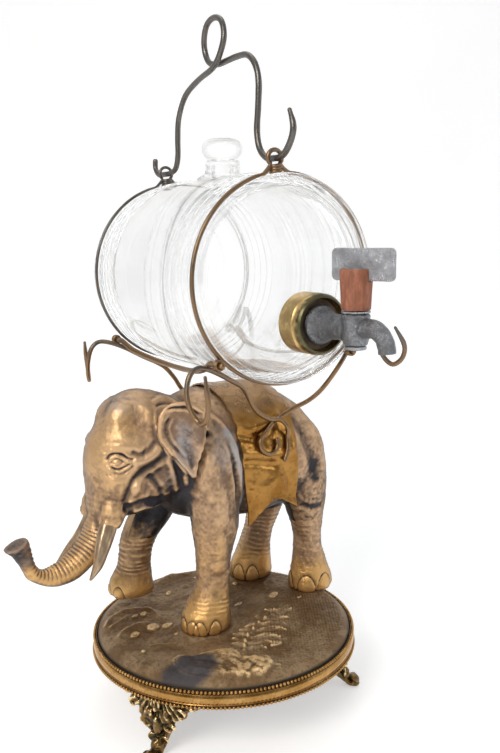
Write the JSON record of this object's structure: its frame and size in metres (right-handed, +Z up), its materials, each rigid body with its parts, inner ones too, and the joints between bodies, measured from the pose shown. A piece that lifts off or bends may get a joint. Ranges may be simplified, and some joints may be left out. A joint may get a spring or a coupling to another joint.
{
  "type": "spirit dispenser",
  "caption": "Cast elephant on a ringed base with three feet, carrying a ribbed glass barrel in a wire cradle with cup hooks, a bail handle, a lift-out stopper and a turning tap.",
  "frame": {"origin": "middle of the bounding box on the surface the feet stand on", "axes": "+Z up, -Y towards the tap and the animal's near flank, -X the way the elephant walks"},
  "size_m": [0.1904, 0.194, 0.3403],
  "materials": {
    "aged_brass": "aged",
    "brassy_wire": "darkened",
    "clear_glass": "clear",
    "cork": "cork",
    "dark_bronze": "dark patina",
    "gilt_brass": "bright gilt",
    "ivory_bronze": "worn highlight",
    "patinated_bronze": "aged patina",
    "pewter": "dull grey",
    "rust_sleeve": "red-brown",
    "saddle_brass": "worn sheet",
    "steel_wire": "darkened"
  },
  "bodies": {
    "stand": {"base_disc": "dark_bronze", "base_foot_1": "gilt_brass", "base_foot_2": "gilt_brass", "base_foot_3": "gilt_brass", "beaded_ring": "gilt_brass", "binding_front_head_side": "brassy_wire", "binding_front_tail_side": "brassy_wire", "binding_rear_head_side": "brassy_wire", "binding_rear_tail_side": "brassy_wire", "cork_bung": "cork", "cradle_rail_head_side": "brassy_wire", "cradle_rail_tail_side": "brassy_wire", "ear_left": "patinated_bronze", "ear_right": "patinated_bronze", "foot_screw_1": "gilt_brass", "foot_screw_2": "gilt_brass", "foot_screw_3": "gilt_brass", "front_hoop": "steel_wire", "glass_barrel": "clear_glass", "head_with_trunk": "patinated_bronze", "hook_wire_front_head_side": "steel_wire", "hook_wire_front_tail_side": "steel_wire", "hook_wire_rear_head_side": "steel_wire", "hook_wire_rear_tail_side": "steel_wire", "leg_front_left": "patinated_bronze", "leg_front_right": "patinated_bronze", "leg_rear_left": "patinated_bronze", "leg_rear_right": "patinated_bronze", "nut_front_left": "gilt_brass", "nut_rear_left": "gilt_brass", "nut_rear_right": "gilt_brass", "rear_hoop": "steel_wire", "saddle_cloth": "saddle_brass", "stud_front_left": "gilt_brass", "stud_rear_left": "gilt_brass", "stud_rear_right": "gilt_brass", "tail": "patinated_bronze", "tap_body": "pewter", "tap_collar": "aged_brass", "torso": "patinated_bronze", "tusk_left": "ivory_bronze", "tusk_right": "ivory_bronze"},
    "handle": {"bail_handle": "steel_wire"},
    "stopper": {"glass_stopper": "clear_glass"},
    "tap_plug": {"tap_plug_key": "pewter", "key_sleeve": "rust_sleeve", "plug_retainer": "pewter"}
  },
  "joints": [
    {"name": "handle_swing", "type": "hinge", "parent": "stand", "child": "handle", "pos_m": [0.02295, 0.02614, 0.26952], "axis": [0, 1, 0], "range_deg": [-88, 88]},
    {"name": "stopper_lift", "type": "slide", "parent": "stand", "child": "stopper", "axis": [0, 0, 1], "range_m": [0, 0.025]},
    {"name": "tap_turn", "type": "hinge", "parent": "stand", "child": "tap_plug", "pos_m": [0.03145, -0.07376, 0.1971], "axis": [0, 0, 1], "continuous": true}
  ]
}
